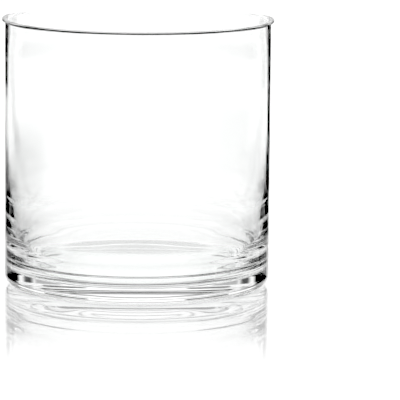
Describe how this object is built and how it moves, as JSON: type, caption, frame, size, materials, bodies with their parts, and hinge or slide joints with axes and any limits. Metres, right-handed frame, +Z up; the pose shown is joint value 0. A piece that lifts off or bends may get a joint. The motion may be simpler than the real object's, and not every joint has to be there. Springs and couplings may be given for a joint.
{
  "type": "glass cylinder vase",
  "caption": "Clear glass cylinder vase, as tall as it is wide, with a slightly proud rounded rim, straight thin wall and heavy rounded base; holds water and cut flowers.",
  "frame": {"origin": "centre of the foot ring, on the plane the vase rests on", "axes": "+Z up along the vase's axis, out of its mouth; the vase is round, so +X and +Y are any two level directions at right angles"},
  "size_m": [0.1226, 0.1226, 0.121],
  "materials": {
    "clear_glass": "clear, colourless, fire-polished and glossy"
  },
  "bodies": {
    "root": {"glass_vase": "clear_glass"}
  },
  "joints": []
}
